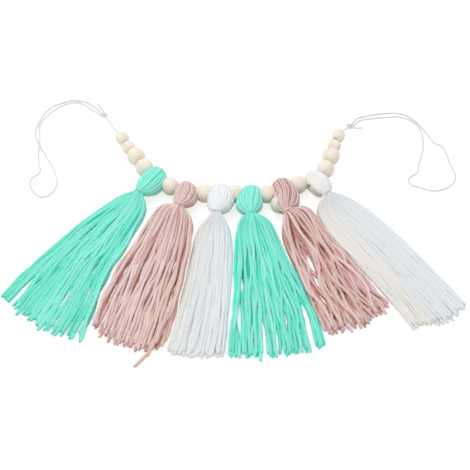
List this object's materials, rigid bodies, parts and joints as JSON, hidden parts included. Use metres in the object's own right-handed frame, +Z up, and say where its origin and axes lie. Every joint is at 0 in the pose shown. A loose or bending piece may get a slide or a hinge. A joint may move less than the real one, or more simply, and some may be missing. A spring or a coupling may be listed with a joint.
{
  "type": "pom pom garland",
  "caption": "Garland of folded yarn tassels and round wooden beads threaded on a thin cord, which is knotted past its end beads and goes on as long hanging loops.",
  "frame": {"origin": "centre of the garland without its cord, seen from above, on the surface that it lies on", "axes": "+X from the left end of the string to the right, +Y from the tassels' ends towards the knots, +Z up from the surface"},
  "size_m": [0.3983, 0.3125, 0.021],
  "materials": {
    "mint": "soft matte yarn",
    "pink": "soft matte yarn",
    "white": "soft matte yarn",
    "wood": "unvarnished, sanded smooth",
    "cord": "thin twisted cotton"
  },
  "bodies": {
    "cord": {"threaded_cord": "cord", "left_knot": "cord", "right_knot": "cord", "left_loop": "cord", "right_loop": "cord", "left_tail": "cord", "right_tail": "cord"},
    "bead_left_1": {"bead_left_1": "wood"},
    "bead_left_2": {"bead_left_2": "wood"},
    "bead_left_3": {"bead_left_3": "wood"},
    "bead_left_4": {"bead_left_4": "wood"},
    "tassel_1": {"tassel_1_yarn": "mint", "tassel_1_core_bead": "wood", "tassel_1_neck_tie": "mint"},
    "bead_between_1": {"bead_between_1": "wood"},
    "tassel_2": {"tassel_2_yarn": "pink", "tassel_2_core_bead": "wood", "tassel_2_neck_tie": "pink"},
    "bead_between_2": {"bead_between_2": "wood"},
    "tassel_3": {"tassel_3_yarn": "white", "tassel_3_core_bead": "wood", "tassel_3_neck_tie": "white"},
    "bead_between_3": {"bead_between_3": "wood"},
    "tassel_4": {"tassel_4_yarn": "mint", "tassel_4_core_bead": "wood", "tassel_4_neck_tie": "mint"},
    "bead_between_4": {"bead_between_4": "wood"},
    "tassel_5": {"tassel_5_yarn": "pink", "tassel_5_core_bead": "wood", "tassel_5_neck_tie": "pink"},
    "bead_between_5": {"bead_between_5": "wood"},
    "tassel_6": {"tassel_6_yarn": "white", "tassel_6_core_bead": "wood", "tassel_6_neck_tie": "white"},
    "bead_right_4": {"bead_right_4": "wood"},
    "bead_right_3": {"bead_right_3": "wood"},
    "bead_right_2": {"bead_right_2": "wood"},
    "bead_right_1": {"bead_right_1": "wood"}
  },
  "joints": [
    {"name": "bead_left_1_spin", "type": "hinge", "parent": "cord", "child": "bead_left_1", "pos_m": [-0.10049, 0.11038, 0.0062], "axis": [0.4759, -0.8765, 0.0725], "continuous": true},
    {"name": "bead_left_2_spin", "type": "hinge", "parent": "cord", "child": "bead_left_2", "pos_m": [-0.09418, 0.09799, 0.0062], "axis": [0.4774, -0.8765, 0.0613], "continuous": true},
    {"name": "bead_left_3_spin", "type": "hinge", "parent": "cord", "child": "bead_left_3", "pos_m": [-0.08648, 0.08466, 0.008], "axis": [0.4913, -0.8692, 0.0556], "continuous": true},
    {"name": "bead_left_4_spin", "type": "hinge", "parent": "cord", "child": "bead_left_4", "pos_m": [-0.07829, 0.06988, 0.008], "axis": [0.574, -0.8189, 0], "continuous": true},
    {"name": "tassel_1_swing", "type": "hinge", "parent": "cord", "child": "tassel_1", "pos_m": [-0.0671, 0.057, 0.0075], "axis": [-0.7193, 0.6947, 0], "range_deg": [0, 60]},
    {"name": "bead_between_1_spin", "type": "hinge", "parent": "cord", "child": "bead_between_1", "pos_m": [-0.05384, 0.04627, 0.008], "axis": [0.8672, -0.4979, 0], "continuous": true},
    {"name": "tassel_2_swing", "type": "hinge", "parent": "cord", "child": "tassel_2", "pos_m": [-0.03898, 0.04086, 0.0075], "axis": [-0.9613, 0.2756, 0], "range_deg": [0, 90]},
    {"name": "bead_between_2_spin", "type": "hinge", "parent": "cord", "child": "bead_between_2", "pos_m": [-0.02351, 0.03757, 0.008], "axis": [0.9906, -0.1365, 0], "continuous": true},
    {"name": "tassel_3_swing", "type": "hinge", "parent": "cord", "child": "tassel_3", "pos_m": [-0.00996, 0.03686, 0.0075], "axis": [-0.9998, 0.0175, 0], "range_deg": [0, 60]},
    {"name": "bead_between_3_spin", "type": "hinge", "parent": "cord", "child": "bead_between_3", "pos_m": [0.0036, 0.0371, 0.008], "axis": [1, -0.0095, 0], "continuous": true},
    {"name": "tassel_4_swing", "type": "hinge", "parent": "cord", "child": "tassel_4", "pos_m": [0.01801, 0.0366, 0.0075], "axis": [-0.9998, 0.0175, 0], "range_deg": [0, 90]},
    {"name": "bead_between_4_spin", "type": "hinge", "parent": "cord", "child": "bead_between_4", "pos_m": [0.03243, 0.0366, 0.008], "axis": [0.9885, 0.1509, 0], "continuous": true},
    {"name": "tassel_5_swing", "type": "hinge", "parent": "cord", "child": "tassel_5", "pos_m": [0.04681, 0.04099, 0.0075], "axis": [-0.9205, -0.3907, 0], "range_deg": [0, 45]},
    {"name": "bead_between_5_spin", "type": "hinge", "parent": "cord", "child": "bead_between_5", "pos_m": [0.05997, 0.04829, 0.008], "axis": [0.8833, 0.4688, 0], "continuous": true},
    {"name": "tassel_6_swing", "type": "hinge", "parent": "cord", "child": "tassel_6", "pos_m": [0.07454, 0.05571, 0.0075], "axis": [-0.788, -0.6157, 0], "range_deg": [0, 75]},
    {"name": "bead_right_4_spin", "type": "hinge", "parent": "cord", "child": "bead_right_4", "pos_m": [0.08527, 0.06806, 0.008], "axis": [0.4948, 0.869, 0], "continuous": true},
    {"name": "bead_right_3_spin", "type": "hinge", "parent": "cord", "child": "bead_right_3", "pos_m": [0.09094, 0.08451, 0.008], "axis": [0.2855, 0.9569, -0.054], "continuous": true},
    {"name": "bead_right_2_spin", "type": "hinge", "parent": "cord", "child": "bead_right_2", "pos_m": [0.09479, 0.09994, 0.0062], "axis": [0.2814, 0.9577, -0.0594], "continuous": true},
    {"name": "bead_right_1_spin", "type": "hinge", "parent": "cord", "child": "bead_right_1", "pos_m": [0.09947, 0.11355, 0.0062], "axis": [0.4474, 0.8871, -0.1134], "continuous": true}
  ]
}
